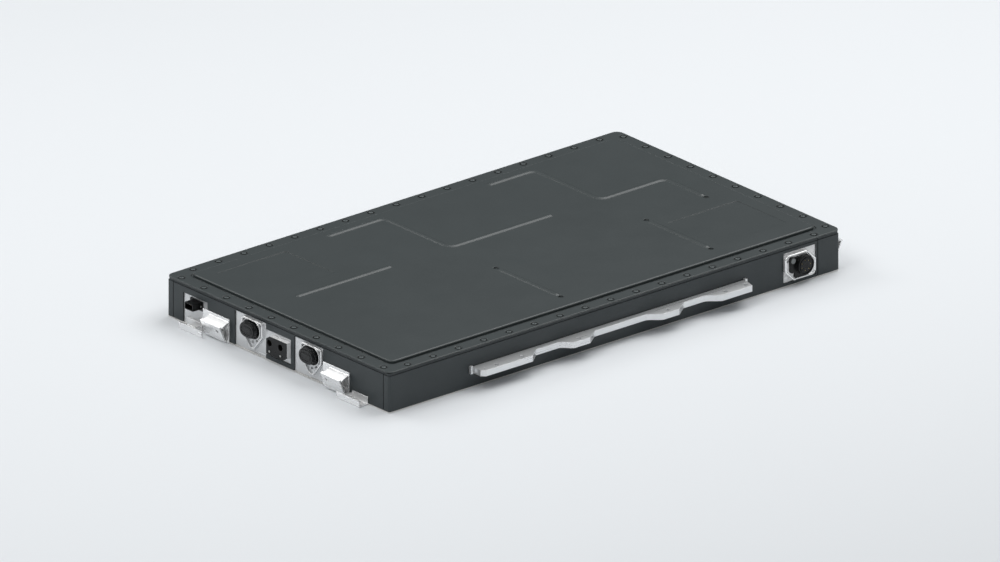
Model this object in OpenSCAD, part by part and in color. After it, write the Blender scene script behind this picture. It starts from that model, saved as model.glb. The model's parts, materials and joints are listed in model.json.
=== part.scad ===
// Flat traction battery pack for an electric car.
// X runs along the pack from the connector end, Y across it, Z up.
// The origin is the centre of the underside of the base plate.

/* [Pack] */
// Length of the cover flange
pack_l = 1376; // [1360:1:1440]
// Width of the cover flange
pack_w = 800; // [770:1:850]
// Height of the cover flange above the underside
deck_z = 103; // [101:1:115]
// How far the casing walls stand back from the flange edge
wall_inset = 2.6; // [1.5:0.1:5]
// Radius of the casing's upright corners
casing_corner_r = 6; // [3:0.5:12]

/* [Casing] */
// Thickness of the base plate
base_t = 3; // [2:0.5:4]
// Thickness of the side sills across the pack
sill_t = 20; // [18:0.5:24]
// Wall thickness of the hollow profiles
profile_wall = 4; // [2.5:0.5:5]
// Height of the solid screw band along the top of the profiles
screw_band_h = 12; // [11:0.5:13]
// Thickness of the front wall with its openings
front_wall_t = 8; // [6:0.5:10]
// Width of the screw rim along the top of the end beams
rim_w = 26; // [22:0.5:30]
// Length of the rear beam along the pack
rear_beam_l = 67; // [62:1:75]
// Height of the shadow step under the flange
step_h = 6; // [3:0.5:8]
// Depth of the shadow step
step_d = 1.5; // [1:0.5:4]
// Width and depth of the joint lines between the beams and the sills
seam_w = 2; // [0.5:0.25:2.5]
// Width of each cross member
cross_t = 22; // [16:1:24]
// Height of each cross member
cross_h = 76; // [60:1:78]

/* [Cover] */
// Thickness of the cover sheet
cover_t = 3; // [2:0.25:3.5]
// Outer corner radius of the flange
flange_corner_r = 18; // [12:1:30]
// Radius of the flange's rounded upper edge
flange_edge_r = 1.5; // [0.5:0.25:1.75]
// Width of the flat bolting flange
flange_w = 35; // [32:0.5:40]
// Width of the groove inside the flange
groove_w = 6; // [4:0.5:10]
// Depth of the groove below the flange
groove_d = 3; // [1:0.5:3.5]
// Height of the centre panel above the flange
panel_rise = 5.5; // [3:0.5:8]
// Radius of the rounded edge of the centre panel
panel_edge_r = 4; // [4:0.5:7]
// Plan radius of the corners of the centre panel
panel_corner_r = 15; // [12:1:30]
// Width of the stiffening beads
bead_w = 15; // [8:0.5:18]
// Height of the stiffening beads
bead_h = 2.8; // [0.8:0.1:3.2]
// Bend radius of the beads at their centre line
bead_bend_r = 22; // [16:1:40]
// Greatest depth of the two sunk fields
field_d = 0.9; // [0.4:0.1:1.8]
// Thickness of the gasket under the flange
gasket_t = 2; // [1:0.5:3]
// Number of cover bolts along each long side
long_bolts = 17; // [9:1:21]
// Distance of the first long side bolt from the flange end
long_bolt_start = 69.4; // [66:0.1:76]
// Number of cover bolts along each short side
short_bolts = 10; // [6:1:12]
// Distance of the first short side bolt from the flange end
short_bolt_start = 37.8; // [36:0.1:50]
// Distance of the bolt rows from the flange edge
bolt_row_inset = 15.8; // [14:0.1:17]
// Diameter of the cover bolts' thread
bolt_d = 6; // [5:0.5:6]
// Diameter of the cover bolts' heads
bolt_head_d = 12; // [10:0.5:13.5]
// Height of the cover bolts' heads
bolt_head_h = 2.25; // [2:0.25:5]
// Diameter of the dimple pressed round each bolt
dimple_d = 19; // [15:0.5:20]
// Depth of the dimples
dimple_depth = 1.6; // [0.5:0.1:1.6]

/* [Connector end] */
// Set-back of the bare panel behind the front wall
panel_setback = 3; // [1:0.5:5]
// Thickness of the bare panel behind the wall
panel_back_t = 6; // [4:0.5:8]
// Centre of the low voltage opening, along Y
lv_window_y = 297.5; // [285:0.5:305]
// Width of the low voltage opening
lv_window_w = 87; // [80:1:95]
// Height of the top of the low voltage opening
lv_window_top = 77; // [74:1:82]
// Centre of the left high voltage opening, along Y
hv_left_window_y = 104; // [100:0.5:110]
// Centre of the right high voltage opening, along Y
hv_right_window_y = -108; // [-114:0.5:-106]
// Width of each high voltage opening
hv_window_w = 104; // [100:1:110]
// How much wider the left high voltage opening is, towards the power socket
hv_left_extra = 8; // [0:0.5:10]
// Height of the top of the high voltage openings
hv_window_top = 90; // [88.5:0.5:91]
// Right edge of the power socket opening, along Y
socket_window_y = -45; // [-48:0.5:-43]
// Underside of the power socket opening
socket_window_z = 13; // [10:0.5:18]
// Top of the power socket opening
socket_window_top = 76; // [72:0.5:80]
// Distance of each high voltage connector from the centre of its opening
hv_shift = -12.5; // [-13.5:0.5:-8]
// Height of the high voltage connectors' centre
hv_z = 62.5; // [60:0.5:62.5]
// Width of the shield shaped boss round each high voltage connector
boss_w = 75; // [70:0.5:77]
// Height of the shield shaped boss above the panel
boss_h = 6; // [4:0.5:9]
// Width of the raised rim round the boss
boss_rim_w = 4.5; // [2:0.25:4.75]
// Depth of the boss inside its rim
boss_sink = 3; // [1:0.25:3]
// Width of the high voltage connectors' black flange
hv_flange_w = 60; // [57:0.5:61]
// Height of the high voltage connectors' black flange
hv_flange_h = 43; // [40:0.5:43]
// Wall of the metal collar round that flange
collar_w = 1.5; // [1:0.25:2]
// Width of the closed caps
cap_w = 52; // [46:0.5:54]
// Height of the closed caps
cap_h = 35; // [30:0.5:37]
// Length of the closed caps
cap_l = 16; // [14.5:0.5:22]
// Centre of the power socket, along Y
socket_y = -4.4; // [-5:0.2:-2]
// Height of the power socket's centre
socket_z = 44.5; // [43:0.5:46]
// Width of the power socket housing
socket_w = 73; // [68:0.5:76]
// Height of the power socket housing
socket_h = 45; // [40:0.5:50]
// Length of the power socket housing
socket_l = 13; // [12.5:0.5:18]
// Wall of the power socket housing
socket_wall = 1.5; // [1:0.25:3]
// Diameter of the power socket's two holes
contact_hole_d = 16; // [12:0.5:17]
// Distance between the power socket's two holes
contact_pitch = 39.2; // [36:0.2:42]
// Depth of the power socket's two holes
contact_hole_l = 10; // [8:0.5:11]
// Diameter of the two signal pins
signal_pin_d = 5; // [3:0.5:6]
// Centre of the low voltage connector, along Y
lv_y = 294; // [288:0.5:300]
// Height of the low voltage connector's centre
lv_z = 60.5; // [55:0.5:62]
// Width of the low voltage connector
lv_w = 29; // [24:0.5:34]
// Height of the low voltage connector
lv_h = 17; // [14:0.5:20]
// Length of the low voltage connector
lv_l = 26; // [20:0.5:30]
// Wall of the low voltage connector
lv_wall = 2; // [1.5:0.25:2.5]

/* [Brackets] */
// Sheet thickness of the brackets
bracket_t = 3; // [2:0.25:3.5]
// Distance of the wedges' centres from the pack's centre, along Y
wedge_y = 215; // [212:1:216]
// Width of the wedges' two faces
wedge_w = 69; // [60:1:70]
// Sideways step between the wedges' upper and lower face
wedge_step = 6; // [3:0.5:8]
// Reach of the wedges from the wall
wedge_reach = 27; // [22:0.5:32]
// Height of the wedges' back plates
wedge_plate_h = 60; // [57:0.5:70]
// Height at which the wedges' upper face leaves the plate
wedge_top_z = 55; // [52:0.5:56]
// Height of the wedges' nose
wedge_nose_z = 43; // [38:0.5:46]
// Distance of the wedges' lower edge from the wall
wedge_foot_d = 8; // [7:0.5:12]
// Width of the back plate beyond the wedge on its longer side
wedge_ear_w = 17.5; // [12:0.5:20]
// Diameter of the hole in the wedges' lower face
wedge_hole_d = 8.5; // [6:0.5:10]
// Distance of that hole below the nose, along the face
wedge_hole_down = 16; // [10:0.5:30]
// Distance of the hole from the wedges' inner edge
wedge_hole_inset = 15.5; // [12:0.5:22]
// Height of the rear wedges above the front ones
rear_wedge_lift = 20; // [10:1:25]
// Distance of the rear wedges' centres from the pack's centre
rear_wedge_y = 342; // [330:1:345]
// Length of the tray brackets along Y
tray_l = 55; // [48:1:64]
// Reach of the tray brackets from the wall
tray_reach = 29; // [26:0.5:34]
// Height of the tray brackets' back wall
tray_back_h = 20; // [16:0.5:26]
// Height of the tray brackets' front lip
tray_lip_h = 16; // [12:0.5:22]
// How far the front lip runs on inward
tray_lip_run = 26; // [10:1:30]
// Diameter of the hole in the tray brackets' floor
tray_hole_d = 9; // [6:0.5:11]

/* [Side rails] */
// Height of the rails' upper face
rail_top_z = 52; // [46:0.5:56]
// Height of the rails' section
rail_h = 15; // [12:0.5:18]
// Reach of the rails at their lobes
rail_reach = 39; // [34:0.5:44]
// Reach of the rails between their lobes
rail_waist = 15; // [12:0.5:20]
// Wall of the rails
rail_wall = 4; // [3:0.25:5]
// Distance of the rails' bolt holes from their outer edge
rail_hole_inset = 13; // [12:0.5:15]
// Diameter of the rails' bolt holes
rail_hole_d = 11; // [8:0.5:12]
// Width of the lugs at the rails' ends
lug_w = 6.5; // [5:0.5:9]
// Distance of the outer lug from the rail's end
lug_gap = 3; // [1:0.5:5]
// Reach of the lugs from the wall
lug_reach = 7.5; // [5:0.5:10]
// Height of the lugs above the rails
lug_rise = 4; // [2:0.5:6]

/* [Charge connector] */
// Distance of the charge connector's opening from the rear end of the flange
charge_window_end = 74; // [71:1:84]
// Width of the charge connector's opening
charge_window_w = 99; // [92:1:101]
// Underside of the charge connector's opening
charge_window_z = 10; // [8:0.5:14]
// Top of the charge connector's opening
charge_window_top = 85; // [82:0.5:86]
// Thickness of the bare plate in that opening
charge_plate_t = 8; // [5:0.5:12]
// Height of the charge connector's metal frame above its plate
charge_frame_h = 10; // [6:0.5:12]
// Height of the charge connector's black base above its plate
charge_base_h = 14.5; // [12.5:0.5:16]
// Height of the charge connector's barrel above its plate
charge_barrel_h = 24; // [18:0.5:28]
// Diameter of the charge connector's barrel
charge_barrel_d = 47; // [40:0.5:48]
// Diameter of the charge connector's sealing plug
charge_plug_d = 13; // [10:0.5:14]

/* [Cells] */
// Width of a cell along the pack
cell_w = 173; // [165:1:174]
// Thickness of a cell across the pack
cell_t = 43.5; // [40:0.5:44]
// Height of a cell
cell_h = 80; // [70:0.5:82]
// Gap between cells
cell_gap = 0.6; // [0.2:0.1:0.8]
// Thickness of the module end plates
end_plate_t = 8; // [6:0.5:9]
// Thickness of the module side straps
strap_t = 1.5; // [1:0.25:1.5]
// Height of the module side straps
strap_h = 56; // [40:1:60]
// Height of the cell terminals
terminal_h = 2; // [1:0.25:3]
// Distance between the two terminals of a cell
terminal_pitch = 120; // [100:1:130]
// Thickness of the busbars
busbar_t = 2; // [1:0.25:2.5]
// Width of the busbars
busbar_w = 20; // [14:0.5:22]
// Thickness of the heat spreader on the base plate
spreader_t = 6; // [4:0.5:7]
// Thickness of the thermal pads under the modules
pad_t = 1.5; // [1:0.25:2]

/* [Hidden] */
$fn = 48;

// Clearance of a piece in the opening that it fills
fit_gap = 0.2;
// Overshoot of a cut past the face that it opens
over = 1;

function unit(v) = v / norm(v);

half_l = pack_l / 2;
half_w = pack_w / 2;
body_x = half_l - wall_inset;
body_y = half_w - wall_inset;
frame_top = deck_z - cover_t - gasket_t;
band_z = frame_top - screw_band_h;
inner_y = body_y - sill_t;
front_wall_x = -body_x + front_wall_t;
rear_beam_x = body_x - rear_beam_l;
panel_face_x = -body_x + panel_setback;
panel_back_x = front_wall_x + panel_back_t;
panel_inset = flange_w + groove_w;
long_pitch = (pack_l - 2 * long_bolt_start) / (long_bolts - 1);
short_pitch = (pack_w - 2 * short_bolt_start) / (short_bolts - 1);
bolt_grip = 9;
bolt_hole_depth = 10;
bolt_points = concat(
    [for (s = [-1, 1], i = [0 : long_bolts - 1])
        [-half_l + long_bolt_start + i * long_pitch, s * (half_w - bolt_row_inset)]],
    [for (s = [-1, 1], i = [0 : short_bolts - 1])
        [s * (half_l - bolt_row_inset), -half_w + short_bolt_start + i * short_pitch]]
);

module at_each(points) {
    for (p = points) translate([p[0], p[1], 0]) children();
}

module rounded_rect(l, w, r) {
    square([l - 2 * r, w], center = true);
    square([l, w - 2 * r], center = true);
    for (sx = [-1, 1], sy = [-1, 1]) {
        translate([sx * (l / 2 - r), sy * (w / 2 - r)]) circle(r);
    }
}

module stadium(w, h) {
    square([w - h, h], center = true);
    for (s = [-1, 1]) translate([s * (w - h) / 2, 0]) circle(d = h);
}

// Casing

module casing_plan() {
    rounded_rect(2 * body_x, 2 * body_y, casing_corner_r);
}

module step_cut() {
    translate([0, 0, frame_top - step_h]) linear_extrude(step_h + over) difference() {
        square([pack_l + 2 * over, pack_w + 2 * over], center = true);
        rounded_rect(2 * (body_x - step_d), 2 * (body_y - step_d), casing_corner_r);
    }
}

module bolt_holes_in_frame() {
    translate([0, 0, frame_top - bolt_hole_depth]) at_each(bolt_points) {
        cylinder(h = bolt_hole_depth + over, d = bolt_d + 0.2);
    }
}

// Plan of the casing from base plate to frame top, with the step and bolt holes
module within_casing() {
    difference() {
        intersection() {
            translate([0, 0, base_t]) linear_extrude(frame_top - base_t) casing_plan();
            children();
        }
        step_cut();
        bolt_holes_in_frame();
    }
}

module base_plate() {
    color("silver") difference() {
        linear_extrude(base_t) casing_plan();
        at_each(base_screw_points) base_screw_hole();
    }
}

base_screw_d = 5;
base_screw_head_d = 9;
base_screw_head_h = 2;
base_screw_l = 7;
base_screw_cols = 14;
base_screw_rows = 8;
base_screw_inset = 10;
base_screw_start = 40;
rear_screw_start = 50;
rear_foot_t = 4;
base_screw_pitch = 2 * (body_x - base_screw_start) / (base_screw_cols - 1);
rear_screw_pitch = 2 * (inner_y - rear_screw_start) / (base_screw_rows - 1);
base_screw_points = concat(
    [for (s = [-1, 1], i = [0 : base_screw_cols - 1])
        [-body_x + base_screw_start + i * base_screw_pitch, s * (body_y - base_screw_inset)]],
    [for (i = [0 : base_screw_rows - 1])
        [rear_beam_x + profile_wall / 2 + rear_foot_t, -inner_y + rear_screw_start + i * rear_screw_pitch]]
);

module base_screw_hole() {
    translate([0, 0, -over]) cylinder(h = base_t + 2 * over, d = base_screw_d + 0.4);
    translate([0, 0, -over]) cylinder(h = base_screw_head_h + over, d = base_screw_head_d + 0.4);
}

module base_plate_screws() {
    color("dimgray") at_each(base_screw_points) {
        difference() {
            union() {
                cylinder(h = base_screw_head_h, d = base_screw_head_d);
                cylinder(h = base_screw_head_h + base_screw_l, d = base_screw_d);
            }
            translate([0, 0, -over]) cylinder(h = over + 1.2, d = 4, $fn = 6);
        }
    }
}

module base_screw_threads() {
    at_each(base_screw_points) {
        translate([0, 0, base_t - over]) cylinder(h = base_screw_l + over, d = base_screw_d + 0.2);
    }
}

module wall_block(x0, y0, z0, x1, y1, z1) {
    translate([x0, y0, z0]) cube([x1 - x0, y1 - y0, z1 - z0]);
}

sill_web_z = 48;
sill_screw_floor = 16;
tongue_l = 10;
tongue_skin = 5;

// Hollow sill along the +Y side: two chambers, a solid foot and a solid screw band
module sill_body() {
    difference() {
        wall_block(-body_x, inner_y, base_t, rear_beam_x, body_y, frame_top);
        wall_block(-body_x - over, inner_y + profile_wall, sill_screw_floor,
            rear_beam_x + over, body_y - profile_wall, sill_web_z - profile_wall / 2);
        wall_block(-body_x - over, inner_y + profile_wall, sill_web_z + profile_wall / 2,
            rear_beam_x + over, body_y - profile_wall, band_z);
    }
    wall_block(-body_x, inner_y, base_t, -body_x + profile_wall, body_y, frame_top);
    wall_block(rear_beam_x - over, inner_y, band_z, rear_beam_x + tongue_l, body_y - tongue_skin, frame_top);
}

module side_sill_left() {
    color("#4b5254") difference() {
        within_casing() sill_body();
        base_screw_threads();
    }
}

charge_window_x = half_l - charge_window_end - charge_window_w;
charge_mid_x = charge_window_x + charge_window_w / 2;
charge_mid_z = (charge_window_z + charge_window_top) / 2;

module side_sill_right() {
    color("#4b5254") difference() {
        within_casing() mirror([0, 1, 0]) sill_body();
        base_screw_threads();
        wall_block(charge_window_x, -body_y - over, charge_window_z,
            charge_window_x + charge_window_w, -inner_y + over, charge_window_top);
    }
}

// Right and left edges of the two high voltage openings
hv_windows = [
    [hv_left_window_y - hv_window_w / 2 - hv_left_extra, hv_left_window_y + hv_window_w / 2],
    [hv_right_window_y - hv_window_w / 2, hv_right_window_y + hv_window_w / 2]
];

module front_window(y0, y1, z0, z1) {
    wall_block(-body_x - over, y0, z0, front_wall_x, y1, z1);
}

module front_windows() {
    front_window(lv_window_y - lv_window_w / 2, lv_window_y + lv_window_w / 2, base_t - over, lv_window_top);
    for (w = hv_windows) front_window(w[0], w[1], base_t - over, hv_window_top);
    front_window(socket_window_y, hv_left_window_y, socket_window_z, socket_window_top);
}

module front_beam() {
    color("#4b5254") within_casing() {
        difference() {
            union() {
                wall_block(-body_x, -inner_y, base_t, front_wall_x, inner_y, frame_top);
                wall_block(-body_x, -inner_y, band_z - 1, -body_x + rim_w, inner_y, frame_top);
            }
            front_windows();
            for (s = [0, 1]) mirror([0, s, 0]) {
                wall_block(-body_x - over, inner_y - seam_w, 0, -body_x + seam_w, inner_y + over, deck_z);
            }
        }
    }
}

rear_low = 4;

// Hollow rear beam across the whole width, with a raised screw rim on its outer three sides
module rear_beam() {
    beam_top = frame_top - rear_low;
    rim_x = body_x - rim_w;
    color("#4b5254") difference() {
        within_casing() {
            difference() {
                wall_block(rear_beam_x, -body_y, base_t, body_x, body_y, frame_top);
                wall_block(rear_beam_x - over, -inner_y, beam_top, rim_x, inner_y, frame_top + over);
                wall_block(rear_beam_x + 2 * profile_wall + rear_foot_t, -body_y + profile_wall, base_t + profile_wall,
                    rim_x - profile_wall / 2, body_y - profile_wall, beam_top - profile_wall - 8);
                wall_block(rim_x + profile_wall / 2, -body_y + profile_wall, base_t + profile_wall,
                    body_x - profile_wall, body_y - profile_wall, band_z);
                for (s = [0, 1]) mirror([0, s, 0]) {
                    wall_block(rear_beam_x - over, body_y - seam_w, 0,
                        rear_beam_x + seam_w, body_y + over, deck_z);
                }
            }
        }
        for (s = [0, 1]) mirror([0, s, 0]) {
            wall_block(rear_beam_x - over, inner_y - over, band_z - fit_gap,
                rear_beam_x + tongue_l + fit_gap, body_y - tongue_skin + fit_gap, frame_top + over);
        }
        base_screw_threads();
        vent_bore();
    }
}

bay_gap = 1;
bay_l = 2 * (cell_w + 2 * strap_t) + 4 * bay_gap;
rear_bay_gap = 11;
box_front_gap = 26;
box_rear_gap = 1;
box_l = 110.8;
box_x0 = panel_back_x + box_front_gap;
box_x1 = box_x0 + box_l;
// As many rows of modules as the length between the junction box and the rear beam takes
bays = floor((rear_beam_x - rear_bay_gap - box_x1 - box_rear_gap) / (bay_l + cross_t));
cells_x = rear_beam_x - rear_bay_gap - bays * bay_l - (bays - 1) * cross_t;
spreader_top = base_t + spreader_t;
module_z = spreader_top + pad_t;
cell_top = module_z + cell_h;
bus_z = cell_top + terminal_h;

function bay_x(i) = cells_x + i * (bay_l + cross_t);

module cross_members() {
    color("lightgray") for (i = [0 : bays - 1]) translate([bay_x(i) - cross_t, 0, spreader_top]) {
        rotate([90, 0, 0]) translate([0, 0, -inner_y]) linear_extrude(2 * inner_y) difference() {
            square([cross_t, cross_h]);
            for (k = [0, 1]) {
                translate([profile_wall, profile_wall + k * (cross_h - profile_wall) / 2]) {
                    square([cross_t - 2 * profile_wall, (cross_h - profile_wall) / 2 - profile_wall]);
                }
            }
        }
    }
}

// Cover

// Draws a profile, given as (distance from the corner centres, z), all the way round the pack
module sweep_round(lx, ly) {
    for (sx = [0, 1], sy = [0, 1]) mirror([sx, 0, 0]) mirror([0, sy, 0]) {
        translate([lx, ly, 0]) rotate_extrude(angle = 90) children();
    }
    for (s = [0, 1]) mirror([0, s, 0]) {
        translate([-lx, ly, 0]) rotate([90, 0, 90]) linear_extrude(2 * lx) children();
    }
    for (s = [0, 1]) mirror([s, 0, 0]) {
        translate([lx, ly, 0]) rotate([90, 0, 0]) linear_extrude(2 * ly) children();
    }
}

centre_lx = half_l - panel_inset - panel_corner_r;
centre_ly = half_w - panel_inset - panel_corner_r;
panel_z = deck_z + panel_rise;
groove_z = deck_z - groove_d;

// Section of the groove and the rounded panel edge, with r measured from the panel's corner centres
module cover_edge_section() {
    groove_r = panel_corner_r + groove_w;
    edge_r = panel_corner_r - panel_edge_r;
    edge_z = panel_z - panel_edge_r;
    translate([groove_r, groove_z - cover_t]) square([cover_t, deck_z - groove_z + cover_t]);
    translate([panel_corner_r - cover_t, groove_z - cover_t]) square([groove_w + 2 * cover_t, cover_t]);
    translate([panel_corner_r - cover_t, groove_z - cover_t]) square([cover_t, edge_z - groove_z + cover_t]);
    intersection() {
        translate([edge_r, edge_z]) difference() {
            circle(panel_edge_r);
            circle(panel_edge_r - cover_t);
        }
        translate([edge_r, edge_z]) square(panel_edge_r);
    }
}

module flange_edge_section() {
    translate([flange_corner_r - flange_edge_r, deck_z - flange_edge_r]) intersection() {
        circle(flange_edge_r);
        square(flange_edge_r);
    }
}

// Round topped section of a bead
module bead_section(w, h) {
    r = (w * w / 4 + h * h) / (2 * h);
    intersection() {
        translate([0, h - r]) circle(r, $fn = 96);
        translate([-w / 2, 0]) square([w, h + over]);
    }
}

module bead_half_section(w, h) {
    intersection() {
        bead_section(w, h);
        square([w, h + over]);
    }
}

// One bead along axis-parallel legs, with quarter bends and round ends
module bead(path, w, h) {
    n = len(path);
    for (i = [0 : n - 2]) {
        d = unit(path[i + 1] - path[i]);
        start = path[i] + d * (i == 0 ? 0 : bead_bend_r);
        end = path[i + 1] - d * (i == n - 2 ? 0 : bead_bend_r);
        translate([start[0], start[1], 0]) rotate([0, 0, atan2(d[1], d[0])]) rotate([90, 0, 90]) {
            linear_extrude(norm(end - start)) bead_section(w, h);
        }
    }
    for (i = [1 : 1 : n - 2]) {
        d1 = unit(path[i] - path[i - 1]);
        d2 = unit(path[i + 1] - path[i]);
        centre = path[i] - d1 * bead_bend_r + d2 * bead_bend_r;
        turns_left = d1[0] * d2[1] - d1[1] * d2[0] > 0;
        from = turns_left ? -d2 : d1;
        translate([centre[0], centre[1], 0]) rotate([0, 0, atan2(from[1], from[0])]) {
            rotate_extrude(angle = 90) translate([bead_bend_r, 0]) bead_section(w, h);
        }
    }
    for (end = [path[0], path[n - 1]]) translate([end[0], end[1], 0]) {
        rotate_extrude() bead_half_section(w, h);
    }
}

// Outer legs of the bead pattern, and the ends of the cross legs
bead_far_y = 327;
bead_mid_y = 91;
bead_near_y = -92;
bead_end_y = -290;
bead_x1 = -86;
bead_x2 = 371;
bead_x3 = 569;
bead_paths = [
    [[-547, bead_mid_y], [-272, bead_mid_y]],
    [[-252, bead_far_y], [bead_x1, bead_far_y], [bead_x1, bead_mid_y], [218, bead_mid_y]],
    [[238, bead_far_y], [bead_x2, bead_far_y], [bead_x2, bead_mid_y], [bead_x3, bead_mid_y], [bead_x3, -40]],
    [[bead_x1, bead_near_y], [bead_x1, bead_end_y]],
    [[bead_x2, bead_near_y], [bead_x2, bead_end_y]]
];
// Small round dimples past the ends of the beads
bead_dimple_gap = 17;
bead_dimple_d = 13;
bead_dimple_depth = 3.5;
bead_dimple_t = 1.5;
bead_dimples = [
    [bead_x1, bead_near_y + bead_dimple_gap], [bead_x1, bead_end_y - bead_dimple_gap],
    [bead_x2, bead_near_y + bead_dimple_gap], [bead_x2, bead_end_y - bead_dimple_gap],
    [bead_x3, -40 - bead_dimple_gap]
];
field_l = 214;
field_w = 177;
field_corners = [[-391, 319.5], [609, -121]];
field_corner_r = 5;

// A shallow sloping field: deepest at the given corner, level with the panel at the opposite one
module sunk_field(corner) {
    translate([corner[0] - field_l / 2, corner[1] - field_w / 2, panel_z]) difference() {
        translate([0, 0, -field_d - over]) linear_extrude(field_d + 2 * over) {
            rounded_rect(field_l, field_w, field_corner_r);
        }
        rotate([-field_tilt_x, field_tilt_y, 0]) translate([0, 0, -20 - field_d / 2]) {
            cube([2 * field_l, 2 * field_w, 40], center = true);
        }
    }
}

field_tilt_x = atan(field_d / 2 / field_w);
field_tilt_y = atan(field_d / 2 / field_l);

module cover() {
    inner_l = 2 * (centre_lx + panel_corner_r + groove_w);
    inner_w = 2 * (centre_ly + panel_corner_r + groove_w);
    color("#4b5254") difference() {
        union() {
            for (e = [0, flange_edge_r]) translate([0, 0, deck_z - cover_t]) {
                linear_extrude(cover_t - flange_edge_r + e) difference() {
                    rounded_rect(pack_l - 2 * e, pack_w - 2 * e, flange_corner_r - e);
                    rounded_rect(inner_l, inner_w, panel_corner_r + groove_w);
                }
            }
            sweep_round(half_l - flange_corner_r, half_w - flange_corner_r) flange_edge_section();
            sweep_round(centre_lx, centre_ly) cover_edge_section();
            translate([0, 0, panel_z - cover_t]) linear_extrude(cover_t) {
                rounded_rect(2 * (centre_lx + panel_corner_r - panel_edge_r),
                    2 * (centre_ly + panel_corner_r - panel_edge_r), panel_corner_r - panel_edge_r);
            }
            for (path = bead_paths) translate([0, 0, panel_z]) bead(path, bead_w, bead_h);
            translate([0, 0, panel_z - bead_dimple_depth - bead_dimple_t]) at_each(bead_dimples) {
                cylinder(h = bead_dimple_depth + bead_dimple_t - 0.5, d = bead_dimple_d + 2 * bead_dimple_t);
            }
        }
        for (path = bead_paths) translate([0, 0, panel_z - cover_t - 0.01]) bead(path, bead_w - cover_t, bead_h);
        for (corner = field_corners) sunk_field(corner);
        translate([0, 0, panel_z - bead_dimple_depth]) at_each(bead_dimples) {
            cylinder(h = bead_dimple_depth + over, d = bead_dimple_d);
        }
        at_each(bolt_points) {
            translate([0, 0, deck_z - cover_t - over]) cylinder(h = cover_t + 2 * over, d = bolt_d + 0.6);
            translate([0, 0, deck_z - dimple_depth]) cylinder(h = dimple_depth + over, d = dimple_d);
        }
    }
}

module cover_gasket() {
    ring = wall_inset + step_d;
    color("#15171a") translate([0, 0, frame_top]) linear_extrude(gasket_t) difference() {
        rounded_rect(pack_l - 2 * ring, pack_w - 2 * ring, casing_corner_r);
        rounded_rect(2 * inner_x_gasket, 2 * inner_y, casing_corner_r);
        at_each(bolt_points) circle(d = bolt_d + 0.6);
    }
}
inner_x_gasket = body_x - sill_t;

module cover_bolts() {
    seat = deck_z - dimple_depth;
    color("#3a3f42") at_each(bolt_points) {
        difference() {
            union() {
                translate([0, 0, frame_top - bolt_grip]) {
                    cylinder(h = seat - frame_top + bolt_grip + 0.2, d = bolt_d);
                }
                translate([0, 0, seat]) intersection() {
                    cylinder(h = bolt_head_h, d = bolt_head_d);
                    translate([0, 0, bolt_head_h - bolt_dome_r]) sphere(bolt_dome_r, $fn = 64);
                }
            }
            translate([0, 0, seat + 0.5]) cylinder(h = bolt_head_h, d = bolt_d * 0.55, $fn = 6);
        }
    }
}
bolt_dome_h = bolt_head_h * 0.25;
bolt_dome_r = (pow(bolt_head_d / 2, 2) + pow(bolt_dome_h, 2)) / (2 * bolt_dome_h);

// Connector end

module slab(x0, x1, y0, y1, z0, z1) {
    wall_block(x0, y0, z0, x1, y1, z1);
}

// Extrudes a shape drawn in (y, z) from x0 to x1
module along_x(x0, x1) {
    translate([x0, 0, 0]) rotate([90, 0, 90]) linear_extrude(x1 - x0) children();
}

module panel_pads() {
    g = fit_gap;
    lv0 = lv_window_y - lv_window_w / 2;
    slab(panel_face_x, front_wall_x, lv0 + g, lv0 + lv_window_w - g, base_t, lv_window_top - g);
    for (w = hv_windows) slab(panel_face_x, front_wall_x, w[0] + g, w[1] - g, base_t, hv_window_top - g);
    slab(panel_face_x, front_wall_x, socket_window_y + g, hv_left_window_y, socket_window_z + g,
        socket_window_top - g);
}

hv_left_y = hv_left_window_y + hv_shift;
hv_right_y = hv_right_window_y + hv_shift;
boss_top_z = hv_window_top - 4;
boss_shoulder_z = 50;
boss_tip_z = 12;
boss_tip_w = 12;
boss_corner_r = 10;

// Shield outline of the boss, drawn about its centre line in true height, inset by w
module boss_outline(w) {
    half = boss_w / 2 - w;
    r = boss_corner_r - w;
    tip = boss_tip_w / 2 - w / 2;
    translate([-half, boss_shoulder_z]) square([2 * half, boss_top_z - w - r - boss_shoulder_z]);
    translate([-half + r, boss_shoulder_z]) square([2 * (half - r), boss_top_z - w - boss_shoulder_z]);
    for (s = [-1, 1]) translate([s * (half - r), boss_top_z - w - r]) circle(r);
    polygon([
        [-half, boss_shoulder_z + 0.01], [half, boss_shoulder_z + 0.01],
        [tip, boss_tip_z + w], [-tip, boss_tip_z + w]
    ]);
}

boss_face_x = panel_face_x - boss_h;
hv_seat_x = boss_face_x + boss_sink;
collar_h = 5;
body_gap = 0.3;
hv_body_w = cap_w - 6;
hv_body_h = cap_h - 6;

module hv_boss(y) {
    translate([0, y, 0]) {
        along_x(hv_seat_x, panel_face_x + over) boss_outline(0);
        along_x(boss_face_x, hv_seat_x + 0.01) difference() {
            boss_outline(0);
            boss_outline(boss_rim_w);
            translate([0, hv_z]) stadium(hv_flange_w + 2 * body_gap, hv_flange_h + 2 * body_gap);
        }
        along_x(hv_seat_x - collar_h, hv_seat_x + 0.01) translate([0, hv_z]) {
            difference() {
                stadium(hv_flange_w + 2 * collar_w + 2 * body_gap, hv_flange_h + 2 * collar_w + 2 * body_gap);
                stadium(hv_flange_w + 2 * body_gap, hv_flange_h + 2 * body_gap);
            }
        }
    }
}

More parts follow.
